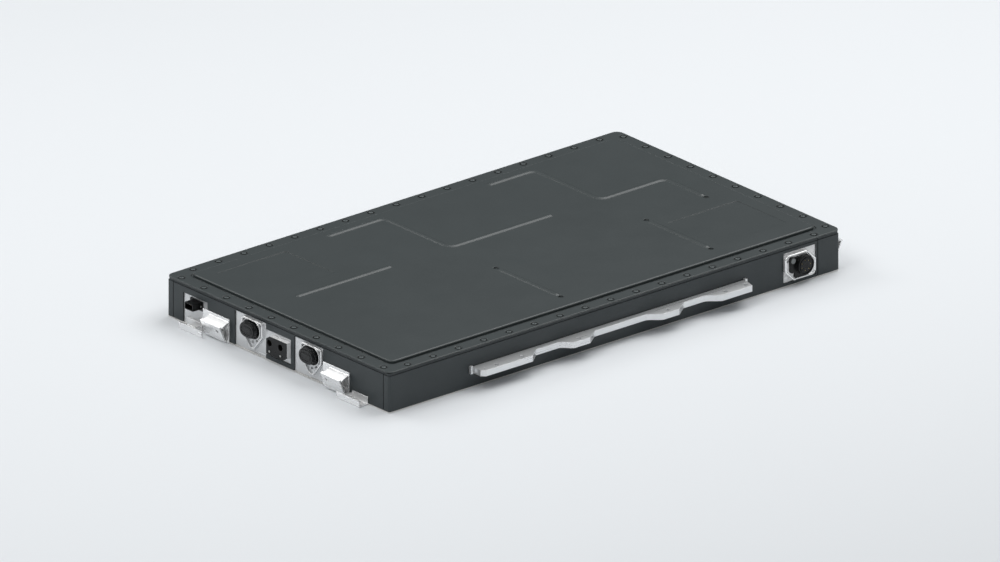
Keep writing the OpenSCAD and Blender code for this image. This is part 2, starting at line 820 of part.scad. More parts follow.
screw_side = hv_flange_w / 2 + collar_w + body_gap - 2;
screw_up = hv_flange_h / 2 - 6.5;
screw_down = hv_flange_h / 2 + collar_w + 4;
screw_boss_offsets = [
    [-screw_side, screw_up], [screw_side, screw_up], [-screw_side / 2, -screw_down], [screw_side / 2, -screw_down]
];
drain_z = 30;
drain_d = 7;

module hv_cuts(y) {
    translate([0, y, 0]) {
        along_x(boss_face_x - over, panel_back_x + over) translate([0, hv_z]) {
            stadium(hv_body_w + 2 * body_gap, hv_body_h + 2 * body_gap);
        }
        for (p = screw_boss_offsets) along_x(hv_seat_x - over, hv_seat_x + 7) {
            translate([p[0], hv_z + p[1]]) circle(d = 3.2);
        }
        along_x(hv_seat_x - over, hv_seat_x + 3) translate([0, drain_z]) circle(d = drain_d);
    }
}

module connector_panel() {
    y0 = hv_right_window_y - hv_window_w / 2 - 8;
    y1 = lv_window_y + lv_window_w / 2 + 8;
    color("#d9dcdd") difference() {
        union() {
            slab(front_wall_x, panel_back_x, y0, y1, base_t, band_z - 1 - fit_gap);
            panel_pads();
            hv_boss(hv_left_y);
            hv_boss(hv_right_y);
        }
        hv_cuts(hv_left_y);
        hv_cuts(hv_right_y);
        along_x(panel_face_x - over, panel_back_x + over) translate([socket_y, socket_z]) {
            stadium(socket_w - 16 + 2 * body_gap, 30 + 2 * body_gap);
        }
        along_x(panel_face_x - over, panel_back_x + over) translate([lv_y, lv_z]) {
            square([lv_w - 6 + 2 * body_gap, lv_h - 4 + 2 * body_gap], center = true);
        }
        along_x(panel_face_x - over, front_wall_x) translate([lv_y, lv_z]) {
            for (s = [-1, 1]) translate([s * lv_screw_y, 0]) circle(d = 3.2);
        }
    }
}

lv_flange_w = lv_w + 16;
lv_flange_h = lv_h + 6;
lv_flange_t = 3;
lv_screw_y = lv_w / 2 + 4;
hv_rear_l = 22;
hv_pin_d = 8;
hv_pin_pitch = 18;
hv_flange_t = 4;
hv_tube_l = 12;

// Black receptacle: flange on the boss, shroud and two pins in front, body through the panel
module hv_connector(y) {
    color("#1c1f22") translate([0, y, 0]) {
        along_x(hv_seat_x, panel_back_x + hv_rear_l) translate([0, hv_z]) stadium(hv_body_w, hv_body_h);
        along_x(hv_seat_x - hv_flange_t, hv_seat_x) translate([0, hv_z]) stadium(hv_flange_w, hv_flange_h);
        along_x(hv_seat_x - hv_flange_t - hv_tube_l, hv_seat_x - hv_flange_t + 0.01) translate([0, hv_z]) {
            difference() {
                stadium(hv_body_w, hv_body_h);
                stadium(hv_body_w - 6, hv_body_h - 6);
            }
            for (s = [-1, 1]) translate([s * hv_pin_pitch / 2, 0]) circle(d = hv_pin_d);
        }
    }
}

module hv_connector_left() hv_connector(hv_left_y);
module hv_connector_right() hv_connector(hv_right_y);

cap_bevel = 2;
cap_back_x = hv_seat_x - hv_flange_t;

// Closed cap over the shroud, with a stepped front edge and a grip rib on each flank
module hv_cap(y) {
    color("#23272a") translate([0, y, 0]) difference() {
        union() {
            along_x(cap_back_x - cap_l + cap_bevel, cap_back_x) translate([0, hv_z]) stadium(cap_w, cap_h);
            along_x(cap_back_x - cap_l, cap_back_x - cap_l + cap_bevel + 0.01) translate([0, hv_z]) {
                stadium(cap_w - 2 * cap_bevel, cap_h - 2 * cap_bevel);
            }
        }
        along_x(cap_back_x - hv_tube_l - 1, cap_back_x + over) translate([0, hv_z]) {
            stadium(hv_body_w + 2 * body_gap, hv_body_h + 2 * body_gap);
        }
        along_x(cap_back_x - cap_l - over, cap_back_x - cap_l + 1) translate([0, hv_z]) difference() {
            stadium(cap_w - 12, cap_h - 12);
            stadium(cap_w - 18, cap_h - 18);
        }
    }
}

module hv_cap_left() hv_cap(hv_left_y);
module hv_cap_right() hv_cap(hv_right_y);

screw_head_d = 5;
screw_head_h = 2;

module panel_screw(x, y, z) {
    translate([x, y, z]) rotate([0, -90, 0]) difference() {
        union() {
            cylinder(h = screw_head_h, d = screw_head_d);
            translate([0, 0, -6]) cylinder(h = 6.01, d = 3);
        }
        translate([0, 0, screw_head_h - 1]) cylinder(h = 2, d = 2.6, $fn = 6);
    }
}

module connector_screws() {
    color("dimgray") {
        for (y = [hv_left_y, hv_right_y], p = screw_boss_offsets) {
            panel_screw(hv_seat_x, y + p[0], hv_z + p[1]);
        }
        for (s = [-1, 1]) panel_screw(panel_face_x - lv_flange_t, lv_y + s * lv_screw_y, lv_z);
    }
}

socket_front_x = panel_face_x - socket_l;
socket_cut_y = 12;
socket_cut_z = 8;

// Rectangle with two opposite corners cut off
module socket_outline(w, h) {
    polygon([
        [-w / 2, -h / 2 + socket_cut_z], [-w / 2 + socket_cut_y, -h / 2], [w / 2, -h / 2],
        [w / 2, h / 2 - socket_cut_z], [w / 2 - socket_cut_y, h / 2], [-w / 2, h / 2]
    ]);
}

module power_socket_housing() {
    color("#d9dcdd") difference() {
        along_x(socket_front_x + face_t, panel_face_x) translate([socket_y, socket_z]) {
            socket_outline(socket_w, socket_h);
        }
        along_x(socket_front_x, panel_face_x + over) translate([socket_y, socket_z]) {
            socket_outline(socket_w - 2 * socket_wall, socket_h - 2 * socket_wall);
        }
    }
}

contact_shift = 4.7;
contact_z = 51;
signal_z = 30;
contact_ys = [for (s = [-1, 1]) socket_y + contact_shift + s * contact_pitch / 2];
face_t = 1.5;
insert_front_x = socket_front_x;
insert_gap = 0.1;

module power_socket_insert() {
    inner_w = socket_w - 2 * socket_wall - 2 * insert_gap;
    inner_h = socket_h - 2 * socket_wall - 2 * insert_gap;
    color("#1c1f22") difference() {
        union() {
            along_x(insert_front_x, insert_front_x + face_t) translate([socket_y, socket_z]) {
                socket_outline(socket_w, socket_h);
            }
            along_x(insert_front_x + face_t - 0.01, panel_face_x) translate([socket_y, socket_z]) {
                socket_outline(inner_w, inner_h);
            }
            along_x(panel_face_x - 0.01, panel_back_x + 14) translate([socket_y, socket_z]) {
                stadium(socket_w - 16, 30);
            }
        }
        for (y = contact_ys) {
            along_x(insert_front_x - over, insert_front_x + contact_hole_l) translate([y, contact_z]) {
                circle(d = contact_hole_d);
            }
            along_x(insert_front_x + contact_hole_l - 0.01, insert_front_x + contact_hole_l + contact_t) {
                translate([y, contact_z]) circle(d = contact_hole_d - 4);
            }
            along_x(insert_front_x - over, insert_front_x + 8) translate([y, signal_z]) {
                circle(d = signal_pin_d + 0.2);
            }
        }
    }
}

contact_t = 1.5;

// Contact discs let into the bottom of the power socket's holes
module power_contacts() {
    color("goldenrod") for (y = contact_ys) {
        along_x(insert_front_x + contact_hole_l, insert_front_x + contact_hole_l + contact_t) {
            translate([y, contact_z]) circle(d = contact_hole_d - 4.2);
        }
    }
}

module signal_pins() {
    color("gray") for (y = contact_ys) {
        translate([insert_front_x - 1, y, signal_z]) rotate([0, 90, 0]) cylinder(h = 9, d = signal_pin_d);
    }
}

lv_cavity_l = lv_l - 6;
lv_pin_d = 1;
lv_front_x = panel_face_x - lv_l;

module low_voltage_connector() {
    color("#101214") translate([0, lv_y, lv_z]) difference() {
        union() {
            along_x(lv_front_x, panel_face_x) square([lv_w, lv_h], center = true);
            along_x(panel_face_x - lv_flange_t, panel_face_x) square([lv_flange_w, lv_flange_h], center = true);
            along_x(panel_face_x - 0.01, panel_back_x + 10) square([lv_w - 6, lv_h - 4], center = true);
        }
        along_x(lv_front_x - over, lv_front_x + lv_cavity_l) {
            square([lv_w - 2 * lv_wall, lv_h - 2 * lv_wall], center = true);
        }
        for (s = [-1, 1]) translate([0, s * lv_screw_y, 0]) {
            along_x(panel_face_x - lv_flange_t - over, panel_face_x + over) circle(d = 3.4);
        }
        lv_pin_places() along_x(lv_front_x, panel_face_x) circle(d = lv_pin_d + 0.1);
    }
}

lv_pin_cols = 8;
lv_pin_step = 2.6;
lv_pin_l = 8;

module lv_pin_places() {
    for (i = [0 : lv_pin_cols - 1], s = [-1, 1]) {
        translate([0, (i - (lv_pin_cols - 1) / 2) * lv_pin_step, s * 2.2]) children();
    }
}

module low_voltage_pins() {
    color("goldenrod") translate([0, lv_y, lv_z]) lv_pin_places() {
        translate([lv_front_x + lv_cavity_l - lv_pin_l, 0, 0]) rotate([0, 90, 0]) {
            cylinder(h = lv_pin_l + 5, d = lv_pin_d, $fn = 24);
        }
    }
}

// Brackets

// Sections of the wedge in (distance from the wall, height): upper face, and lower face with the nose
wedge_foot_z = 1.5;
wedge_tip_l = 4;
wedge_slope = (wedge_top_z - wedge_nose_z) / wedge_reach;
wedge_tip_z = wedge_nose_z + wedge_tip_l * wedge_slope;

module wedge_upper_section() {
    t = bracket_t;
    polygon([
        [0, wedge_top_z], [wedge_reach - wedge_tip_l, wedge_tip_z],
        [wedge_reach - wedge_tip_l, wedge_tip_z - 1.1 * t], [0, wedge_top_z - 1.1 * t]
    ]);
}

wedge_nose = [wedge_reach, wedge_nose_z];
wedge_foot = [wedge_foot_d, wedge_foot_z];
wedge_down = unit(wedge_foot - wedge_nose);
wedge_in = [wedge_down[1], -wedge_down[0]];

module wedge_lower_section() {
    t = bracket_t;
    polygon([
        wedge_nose, wedge_foot, wedge_foot + t * wedge_in, wedge_nose + t * wedge_in + 0.5 * wedge_down
    ]);
    translate([0, wedge_foot_z]) square([wedge_foot_d - 1, t]);
    polygon([
        [wedge_reach - 2 * wedge_tip_l, wedge_tip_z + wedge_tip_l * wedge_slope], wedge_nose,
        wedge_nose + 0.5 * t * wedge_down, [wedge_reach - wedge_tip_l, wedge_tip_z - 1.1 * t],
        [wedge_reach - 2 * wedge_tip_l, wedge_tip_z + wedge_tip_l * wedge_slope - 1.1 * t]
    ]);
}

// Extrudes a section drawn in (distance, height) from y0 to y1, reaching along -X
module along_y(y0, y1) {
    translate([0, y1, 0]) rotate([90, 0, 0]) mirror([1, 0, 0]) linear_extrude(y1 - y0) children();
}

// Wedge bracket on the plane X = 0, reaching along -X, its longer ear towards +Y
module wedge_bracket(y, lift, hole_side) {
    hole_y = y + hole_side * (wedge_w / 2 - wedge_hole_inset);
    hole = wedge_nose + wedge_hole_down * wedge_down;
    y0 = y - wedge_w / 2;
    y1 = y + wedge_w / 2;
    difference() {
        union() {
            translate([0, 0, lift]) {
                along_y(y0 - wedge_step, y1 - wedge_step) wedge_upper_section();
                along_y(y0, y1) wedge_lower_section();
            }
            wall_block(-bracket_t, y0 - wedge_step - 1, lift, 0, y1 + wedge_ear_w, lift + wedge_plate_h);
        }
        translate([-hole[0], hole_y, lift + hole[1]]) rotate([0, atan2(wedge_in[0], -wedge_in[1]), 0]) {
            cylinder(h = 4 * bracket_t, d = wedge_hole_d, center = true);
        }
    }
}

module wedge_bracket_left() {
    color("#e3e5e6") translate([-body_x, 0, 0]) wedge_bracket(wedge_y, 0, -1);
}
module wedge_bracket_right() {
    color("#e3e5e6") translate([-body_x, 0, 0]) wedge_bracket(-wedge_y, 0, 1);
}
module rear_bracket_left() {
    color("#e3e5e6") translate([body_x, 0, 0]) mirror([1, 0, 0]) mirror([0, 1, 0]) {
        wedge_bracket(-rear_wedge_y, rear_wedge_lift, 1);
    }
}
module rear_bracket_right() {
    color("#e3e5e6") translate([body_x, 0, 0]) mirror([1, 0, 0]) {
        wedge_bracket(-rear_wedge_y, rear_wedge_lift, 1);
    }
}

tray_y = wedge_y + wedge_w / 2 + wedge_ear_w + 1;

// Folded channel with a closed inner end and a front lip that runs on inward
module tray_bracket() {
    t = bracket_t;
    x0 = -body_x - tray_reach;
    y1 = tray_y + tray_l;
    difference() {
        union() {
            wall_block(-body_x - t, tray_y, 0, -body_x, y1, tray_back_h);
            wall_block(x0, tray_y, 0, -body_x, y1, t);
            wall_block(x0, tray_y - tray_lip_run, 0, x0 + t, y1, tray_lip_h);
            wall_block(x0, tray_y, 0, -body_x, tray_y + t, tray_lip_h);
        }
        translate([-body_x - tray_reach / 2, tray_y + tray_l / 2, -over]) cylinder(h = t + 2 * over, d = tray_hole_d);
    }
}

// The left tray's back wall is packed out to the bare panel in the opening behind it
module tray_bracket_left() {
    color("#e3e5e6") union() {
        tray_bracket();
        wall_block(-body_x - over, tray_y, base_t, panel_face_x, tray_y + tray_l, tray_back_h);
    }
}
module tray_bracket_right() {
    color("#e3e5e6") mirror([0, 1, 0]) tray_bracket();
}

// Side rails

// Each lobe: where it leaves the waist, is full, is full to, and is back at the waist
rail_lobes = [[-433, -423, -281, -251], [-183, -151, -106, -73], [80, 120, 165, 198], [259, 300, 387, 398]];
rail_x0 = rail_lobes[0][0];
rail_x1 = rail_lobes[3][3];
rail_corner = 9;
rail_holes = [-381, -304, -130, 141, 317, 378];
rail_small_hole_x = -417;
curve_steps = 8;

function ease(a, b, from, to) = [for (i = [0 : curve_steps]) let (t = i / curve_steps)
    [a + (b - a) * t, from + (to - from) * t * t * (3 - 2 * t)]];

// Plan of a rail in (x, distance from the wall), drawn inward by w from its true outline
function rail_outline(w) = concat(
    [[rail_x0 + w, 0], [rail_x0 + w, rail_reach - rail_corner - w / 2],
     [rail_lobes[0][1] + w / 2, rail_reach - w], [rail_lobes[0][2] - w / 2, rail_reach - w],
     [rail_lobes[0][3] - w / 2, rail_waist - w]],
    [for (k = [1, 2], p = concat(
        ease(rail_lobes[k][0] + w / 2, rail_lobes[k][1] + w / 2, rail_waist - w, rail_reach - w),
        [[rail_lobes[k][2] - w / 2, rail_reach - w], [rail_lobes[k][3] - w / 2, rail_waist - w]])) p],
    ease(rail_lobes[3][0] + w / 2, rail_lobes[3][1] + w / 2, rail_waist - w, rail_reach - w),
    [[rail_lobes[3][2] - w, rail_reach - w], [rail_x1 - w, 0]]
);

module side_rail() {
    low = rail_top_z - rail_h;
    hole_d = rail_reach - rail_hole_inset;
    difference() {
        union() {
            translate([0, 0, low]) linear_extrude(rail_h) difference() {
                polygon(rail_outline(0));
                intersection() {
                    polygon(rail_outline(rail_wall));
                    translate([rail_x0, rail_wall]) square([rail_x1 - rail_x0, rail_reach]);
                }
            }
            translate([0, 0, rail_top_z - rail_wall]) linear_extrude(rail_wall) polygon(rail_outline(0));
            for (x = rail_holes) translate([x, hole_d, low]) cylinder(h = rail_h, d = rail_hole_d + 10);
            wall_block(rail_x0 - lug_gap - lug_w, 0, low, rail_x0 - lug_gap, lug_reach, rail_top_z + lug_rise);
            wall_block(rail_x0 - lug_gap - 1, 0, low, rail_x0 + 1, rail_wall - 1, rail_top_z);
            wall_block(rail_x1 - lug_w + 1, 0, low, rail_x1 + 1, lug_reach, rail_top_z + lug_rise);
        }
        translate([rail_small_hole_x, hole_d, low - over]) cylinder(h = rail_h + 2 * over, d = rail_hole_d / 2);
        for (x = rail_holes) translate([x, hole_d, low - over]) cylinder(h = rail_h + 2 * over, d = rail_hole_d);
    }
}
module side_rail_left() {
    color("#d9dcdd") translate([0, body_y, 0]) side_rail();
}
module side_rail_right() {
    color("#d9dcdd") mirror([0, 1, 0]) translate([0, body_y, 0]) side_rail();
}

// Charge connector on the right side

// Extrudes a shape drawn in (x, z) outward between two distances from the right side's wall
module out_of_right(d0, d1) {
    translate([0, -body_y - d0, 0]) rotate([90, 0, 0]) linear_extrude(d1 - d0) children();
}

charge_face_d = -panel_setback;
charge_frame_cut = 24;
charge_small_cut = 7;
charge_frame_l = charge_window_w - 9;
charge_frame_w = charge_window_top - charge_window_z - 13;
frame_mid = [charge_window_x + 1 + charge_frame_l / 2, charge_mid_z - 0.5];
barrel_x = frame_mid[0] + 6;
barrel_z = frame_mid[1] + 3;

module charge_frame_outline(w, h) {
    polygon([
        [-w / 2, -h / 2 + charge_frame_cut], [-w / 2 + charge_frame_cut, -h / 2],
        [w / 2 - charge_small_cut, -h / 2], [w / 2, -h / 2 + charge_small_cut],
        [w / 2, h / 2 - charge_frame_cut], [w / 2 - charge_frame_cut, h / 2],
        [-w / 2 + charge_small_cut, h / 2], [-w / 2, h / 2 - charge_small_cut]
    ]);
}

charge_bore_d = 36;

module charge_plate() {
    w = charge_window_w - 2 * fit_gap;
    h = charge_window_top - charge_window_z - 2 * fit_gap;
    color("#d9dcdd") difference() {
        union() {
            out_of_right(charge_face_d - charge_plate_t, charge_face_d) {
                translate([charge_mid_x, charge_mid_z]) square([w, h], center = true);
            }
            out_of_right(charge_face_d - 0.01, charge_face_d + charge_frame_h) {
                translate(frame_mid) charge_frame_outline(charge_frame_l, charge_frame_w);
            }
        }
        out_of_right(charge_face_d - charge_plate_t - over, charge_face_d + charge_frame_h + over) {
            translate([barrel_x, barrel_z]) circle(d = charge_bore_d + 2 * body_gap);
        }
        out_of_right(charge_face_d, charge_face_d + charge_frame_h + over) {
            translate(frame_mid) charge_base_outline(body_gap);
            translate(plug_place) circle(d = charge_plug_d + 5 + 2 * body_gap);
        }
        for (s = [-1, 1]) out_of_right(charge_face_d - 5, charge_face_d + over) {
            translate([charge_mid_x - s * (w / 2 - 4), charge_mid_z + s * (h / 2 - 4)]) circle(d = 4.2);
        }
    }
}

charge_base_x0 = -35;
charge_base_x1 = 32;
charge_base_z0 = -26;
charge_base_z1 = 25;

// Base of the charge connector: a cut corner block with a keyed lower left corner
module charge_base_outline(grow) {
    x0 = charge_base_x0 - grow;
    x1 = charge_base_x1 + grow;
    z0 = charge_base_z0 - grow;
    z1 = charge_base_z1 + grow;
    polygon([
        [x0, z0 + 20], [x0 + 5, z0 + 14], [x0 + 14, z0 + 14], [x0 + 14, z0 + 2], [x0 + 17, z0],
        [x1 - 12, z0], [x1, z0 + 12], [x1, z1 - 16], [x1 - 14, z1], [x0 + 5, z1], [x0, z1 - 5]
    ]);
}

charge_pole_d = 4;
charge_pole_ring = 13;
charge_poles = 7;

module charge_connector() {
    color("#1c1f22") difference() {
        union() {
            out_of_right(charge_face_d, charge_face_d + charge_base_h) {
                translate(frame_mid) charge_base_outline(0);
            }
            out_of_right(charge_face_d, charge_face_d + charge_base_h + 2) {
                translate(plug_place) circle(d = charge_plug_d + 5);
            }
            out_of_right(charge_face_d + charge_base_h - 0.01, charge_face_d + charge_barrel_h) {
                translate([barrel_x, barrel_z]) circle(d = charge_barrel_d);
            }
            out_of_right(charge_face_d - charge_plate_t - 8, charge_face_d + 0.01) {
                translate([barrel_x, barrel_z]) circle(d = charge_bore_d);
            }
        }
        out_of_right(charge_face_d + charge_barrel_h - 2.5, charge_face_d + charge_barrel_h + over) {
            translate([barrel_x, barrel_z]) difference() {
                circle(d = charge_barrel_d - 5);
                circle(d = charge_barrel_d - 11);
            }
        }
        for (i = [0 : charge_poles - 1]) {
            out_of_right(charge_face_d + charge_barrel_h - 9, charge_face_d + charge_barrel_h + over) {
                translate([barrel_x, barrel_z]) rotate(360 / charge_poles * i) translate([charge_pole_ring, 0]) {
                    circle(d = charge_pole_d);
                }
            }
        }
        out_of_right(charge_face_d + charge_base_h - 6, charge_face_d + charge_base_h + 2 + over) {
            translate(plug_place) circle(d = charge_plug_d + 0.8);
        }
    }
}

// Contact pins in the barrel's holes
module charge_pins() {
    color("#c9a45c") for (i = [0 : charge_poles - 1]) {
        out_of_right(charge_face_d + charge_barrel_h - 9, charge_face_d + charge_barrel_h - 1) {
            translate([barrel_x, barrel_z]) rotate(360 / charge_poles * i) translate([charge_pole_ring, 0]) {
                circle(d = charge_pole_d - 1.6);
            }
        }
    }
}

plug_place = [frame_mid[0] + charge_base_x0 + 7.5, frame_mid[1] + charge_base_z1 - 5.7];

module charge_sealing_plug() {
    color("#8b9092") out_of_right(charge_face_d + charge_base_h - 6, charge_face_d + charge_base_h + 3) {
        translate(plug_place) circle(d = charge_plug_d);
    }
}

// Pressure vent in the rear wall

vent_y = 60;
vent_z = 50;
vent_bore_d = 24;
vent_flange_d = 42;

module vent_bore() {
    translate([rear_beam_x - over, vent_y, vent_z]) rotate([0, 90, 0]) {
        cylinder(h = rear_beam_l + 2 * over, d = vent_bore_d + 0.4);
    }
}

module pressure_vent() {
    color("#1c1f22") translate([body_x, vent_y, vent_z]) rotate([0, 90, 0]) difference() {
        union() {
            cylinder(h = 4, d = vent_flange_d);
            translate([0, 0, -12]) cylinder(h = 12.01, d = vent_bore_d);
        }
        translate([0, 0, -12 - over]) cylinder(h = 20, d = vent_bore_d - 6);
    }
}

module vent_cap() {
    color("#23272a") translate([body_x + 4, vent_y, vent_z]) rotate([0, 90, 0]) difference() {
        cylinder(h = 6, d = vent_flange_d - 6);
        translate([0, 0, -over]) cylinder(h = over + 3, d = vent_bore_d - 6);
        for (a = [0 : 30 : 330]) rotate(a) translate([vent_flange_d / 2 - 6, -1, -over]) cube([6, 2, over + 4]);
    }
}

// Inner pieces

module heat_spreader() {
    color("lightgray") wall_block(bay_x(0) - cross_t, -inner_y, base_t, rear_beam_x - 1, inner_y, spreader_top);
}

row_gap = 5;
cell_pitch = cell_t + cell_gap;
cells_per_module = floor((inner_y - row_gap - 2 * end_plate_t - 1) / cell_pitch);
cell_run = cells_per_module * cell_pitch - cell_gap;
module_run = cell_run + 2 * end_plate_t;
module_cols = 2 * bays;

function module_x(c) = bay_x(floor(c / 2)) + bay_l / 2 + (c % 2 == 0 ? -1 : 1) * (cell_w / 2 + strap_t + bay_gap);

// Places its children at each module: X at the module's centre, Y from the pack's centre line outward
module at_modules() {
    for (c = [0 : module_cols - 1], s = [0, 1]) mirror([0, s, 0]) translate([module_x(c), row_gap, 0]) {
        children();
    }
}

module thermal_pads() {
    color("pink") at_modules() {
        wall_block(-cell_w / 2 + 2, end_plate_t, spreader_top, cell_w / 2 - 2, end_plate_t + cell_run, module_z);
    }
}

terminal_w = 22;
terminal_t = 16;

module battery_cells() {
    color("#8fa3ad") at_modules() {
        for (i = [0 : cells_per_module - 1]) translate([0, end_plate_t + i * cell_pitch, 0]) {
            wall_block(-cell_w / 2, 0, module_z, cell_w / 2, cell_t, cell_top);
            for (s = [-1, 1]) {
                wall_block(s * terminal_pitch / 2 - terminal_w / 2, cell_t / 2 - terminal_t / 2, cell_top - 1,
                    s * terminal_pitch / 2 + terminal_w / 2, cell_t / 2 + terminal_t / 2, bus_z);
            }
        }
    }
}

module module_end_plates() {
    color("gray") at_modules() {
        for (y = [0, module_run - end_plate_t]) {
            wall_block(-cell_w / 2, y, spreader_top, cell_w / 2, y + end_plate_t, cell_top - 2);
        }
    }
}

module module_side_straps() {
    color("silver") at_modules() {
        for (s = [0, 1]) mirror([s, 0, 0]) {
            wall_block(cell_w / 2, 0, spreader_top + 8, cell_w / 2 + strap_t, module_run, spreader_top + 8 + strap_h);
        }
    }
}

// Series bars between neighbouring cells, on alternate sides
module cell_busbars() {
    color("#b87333") at_modules() {
        for (i = [0 : cells_per_module - 2]) {
            side = i % 2 == 0 ? 1 : -1;
            y = end_plate_t + i * cell_pitch + cell_t / 2;
            wall_block(side * terminal_pitch / 2 - busbar_w / 2, y - 7, bus_z,
                side * terminal_pitch / 2 + busbar_w / 2, y + cell_pitch + 7, bus_z + busbar_t);
        }
    }
}

link_z = bus_z + busbar_t + 1.5;
foot_half = 7;
first_cell_y = row_gap + end_plate_t + cell_t / 2;
last_cell_y = first_cell_y + (cells_per_module - 1) * cell_pitch;

// Side of the free terminal at a module's last cell, which depends on the number of cells
last_side = cells_per_module % 2 == 0 ? -1 : 1;

function link_y(k) = k % 2 == 0 ? last_cell_y : first_cell_y;
function link_side(k) = k % 2 == 0 ? last_side : -1;
function free_x(c, side = -1) = module_x(c) + side * terminal_pitch / 2;

module terminal_foot(x, y) {
    wall_block(x - foot_half, y - foot_half, bus_z, x + foot_half, y + foot_half, link_z + busbar_t);
}

// Raised bridges that join the modules of each row, and the last modules of both rows
module module_links() {
    color("#b87333") {
        for (s = [0, 1]) mirror([0, s, 0]) for (k = [0 : module_cols - 2]) {
            y = link_y(k);
            x0 = free_x(k, link_side(k));
            x1 = free_x(k + 1, link_side(k));
            terminal_foot(x0, y);
            terminal_foot(x1, y);
            wall_block(x0 - foot_half, y - foot_half, link_z, x1 + foot_half, y + foot_half, link_z + busbar_t);
        }
        x = free_x(module_cols - 1);
        y = first_cell_y;
        terminal_foot(x, y);
        terminal_foot(x, -y);
        wall_block(x - foot_half, -y - foot_half, link_z, x + foot_half, y + foot_half, link_z + busbar_t);
    }
}

box_y = 150;
box_h = 40;
box_wall = 3;
bar_stand = 10;

module junction_box() {
    color("#30353a") difference() {
        wall_block(box_x0, -box_y, base_t, box_x1, box_y, base_t + box_h);
        wall_block(box_x0 + box_wall, -box_y + box_wall, base_t + box_wall, box_x1 - box_wall, box_y - box_wall,
            base_t + box_h + over);
    }
}

contactor_size = [54, 60, 62];
contactor_x = box_x0 + box_l / 2;
contactor_ys = [-100, 40];

// Two relays that stand in the box, each with two terminal studs
module contactors() {
    color("#d8d8d2") for (y = contactor_ys) {
        translate([contactor_x - contactor_size[0] / 2, y, base_t + box_wall]) {
            cube(contactor_size);
            for (s = [0.25, 0.75]) {
                translate([contactor_size[0] / 2, contactor_size[1] * s, contactor_size[2] - 0.01]) {
                    cylinder(h = 6, d = 10);
                }
            }
        }
    }
}
contactor_top = base_t + box_wall + contactor_size[2] + 6;

fuse_l = 44;
fuse_d = 30;
fuse_foot_l = 48;
fuse_foot_h = 14;
fuse_z = 26;

module main_fuse() {
    y = (contactor_ys[0] + contactor_size[1] + contactor_ys[1]) / 2;
    color("#e8e4da") translate([contactor_x, y, base_t + box_wall]) {
        wall_block(-fuse_foot_l / 2, -fuse_d / 2, 0, fuse_foot_l / 2, fuse_d / 2, fuse_foot_h);
        translate([-fuse_l / 2, 0, fuse_z]) rotate([0, 90, 0]) cylinder(h = fuse_l, d = fuse_d);
    }
}

// Bars from the first and last module to the contactors
module main_busbars() {
    stud_x = contactor_x;
    color("#b87333") for (k = [0, 1]) {
        s = k == 0 ? -1 : 1;
        y = contactor_ys[k] + contactor_size[1] * (k == 0 ? 0.75 : 0.75);
        terminal_foot(free_x(0), s * first_cell_y);
        wall_block(stud_x - foot_half, min(y, s * first_cell_y) - foot_half, link_z,
            stud_x + foot_half, max(y, s * first_cell_y) + foot_half, link_z + busbar_t);
        wall_block(stud_x - foot_half, s * first_cell_y - foot_half, link_z, free_x(0) + foot_half,
            s * first_cell_y + foot_half, link_z + busbar_t);
        wall_block(stud_x - foot_half, y - foot_half, contactor_top, stud_x + foot_half, y + foot_half,
            link_z + busbar_t);
    }
}

// Bars from the contactors to the rear of the high voltage connectors
module connector_busbars() {
    stud_x = contactor_x;
    x0 = panel_back_x + hv_rear_l;
    color("#b87333") for (k = [0, 1]) {
        y_hv = k == 0 ? hv_right_y : hv_left_y;
        y = contactor_ys[k] + contactor_size[1] * 0.25;
        wall_block(stud_x - foot_half, y - foot_half, contactor_top, stud_x + foot_half, y + foot_half,
            contactor_top + busbar_t);
        wall_block(x0, y - foot_half, contactor_top, stud_x, y + foot_half, contactor_top + busbar_t);
        wall_block(x0, min(y, y_hv) - foot_half, contactor_top, x0 + 14, max(y, y_hv) + foot_half,
            contactor_top + busbar_t);
        wall_block(x0, y_hv - foot_half, hv_z - 6, x0 + busbar_t, y_hv + foot_half, contactor_top + busbar_t);
    }
}

module insulation_sheet() {
    z = link_z + busbar_t;
    color("#e9e2cf") wall_block(bay_x(0) - 10, -last_cell_y - foot_half, z, rear_beam_x - 14,
        last_cell_y + foot_half, z + 1);
}

bmu_y0 = 190;
bmu_y1 = 340;
bmu_h = 36;

// Sealed control unit with a finned lid
module battery_management_unit() {
    color("#b9bec2") difference() {
        wall_block(box_x0, bmu_y0, base_t, box_x1, bmu_y1, base_t + bmu_h);
        for (y = [bmu_y0 + 10 : 10 : bmu_y1 - 10]) {
            wall_block(box_x0 + 8, y - 3, base_t + bmu_h - 4, box_x1 - 8, y + 3, base_t + bmu_h + over);
        }
    }
}

base_plate();
base_plate_screws();
side_sill_left();
side_sill_right();
front_beam();
rear_beam();
cross_members();
connector_panel();
cover();
cover_gasket();
cover_bolts();
hv_connector_left();
hv_connector_right();
hv_cap_left();
hv_cap_right();
connector_screws();
power_socket_housing();
power_socket_insert();
power_contacts();
signal_pins();
low_voltage_connector();
low_voltage_pins();
wedge_bracket_left();
wedge_bracket_right();
rear_bracket_left();
rear_bracket_right();
tray_bracket_left();
tray_bracket_right();
side_rail_left();
side_rail_right();
charge_plate();
charge_connector();
charge_pins();
charge_sealing_plug();
pressure_vent();
vent_cap();
heat_spreader();
thermal_pads();
battery_cells();
module_end_plates();
module_side_straps();
cell_busbars();
module_links();
main_busbars();
connector_busbars();
insulation_sheet();
junction_box();
contactors();
main_fuse();
battery_management_unit();
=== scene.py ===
import json
import math

import bmesh
import bpy
from mathutils import Matrix, Vector

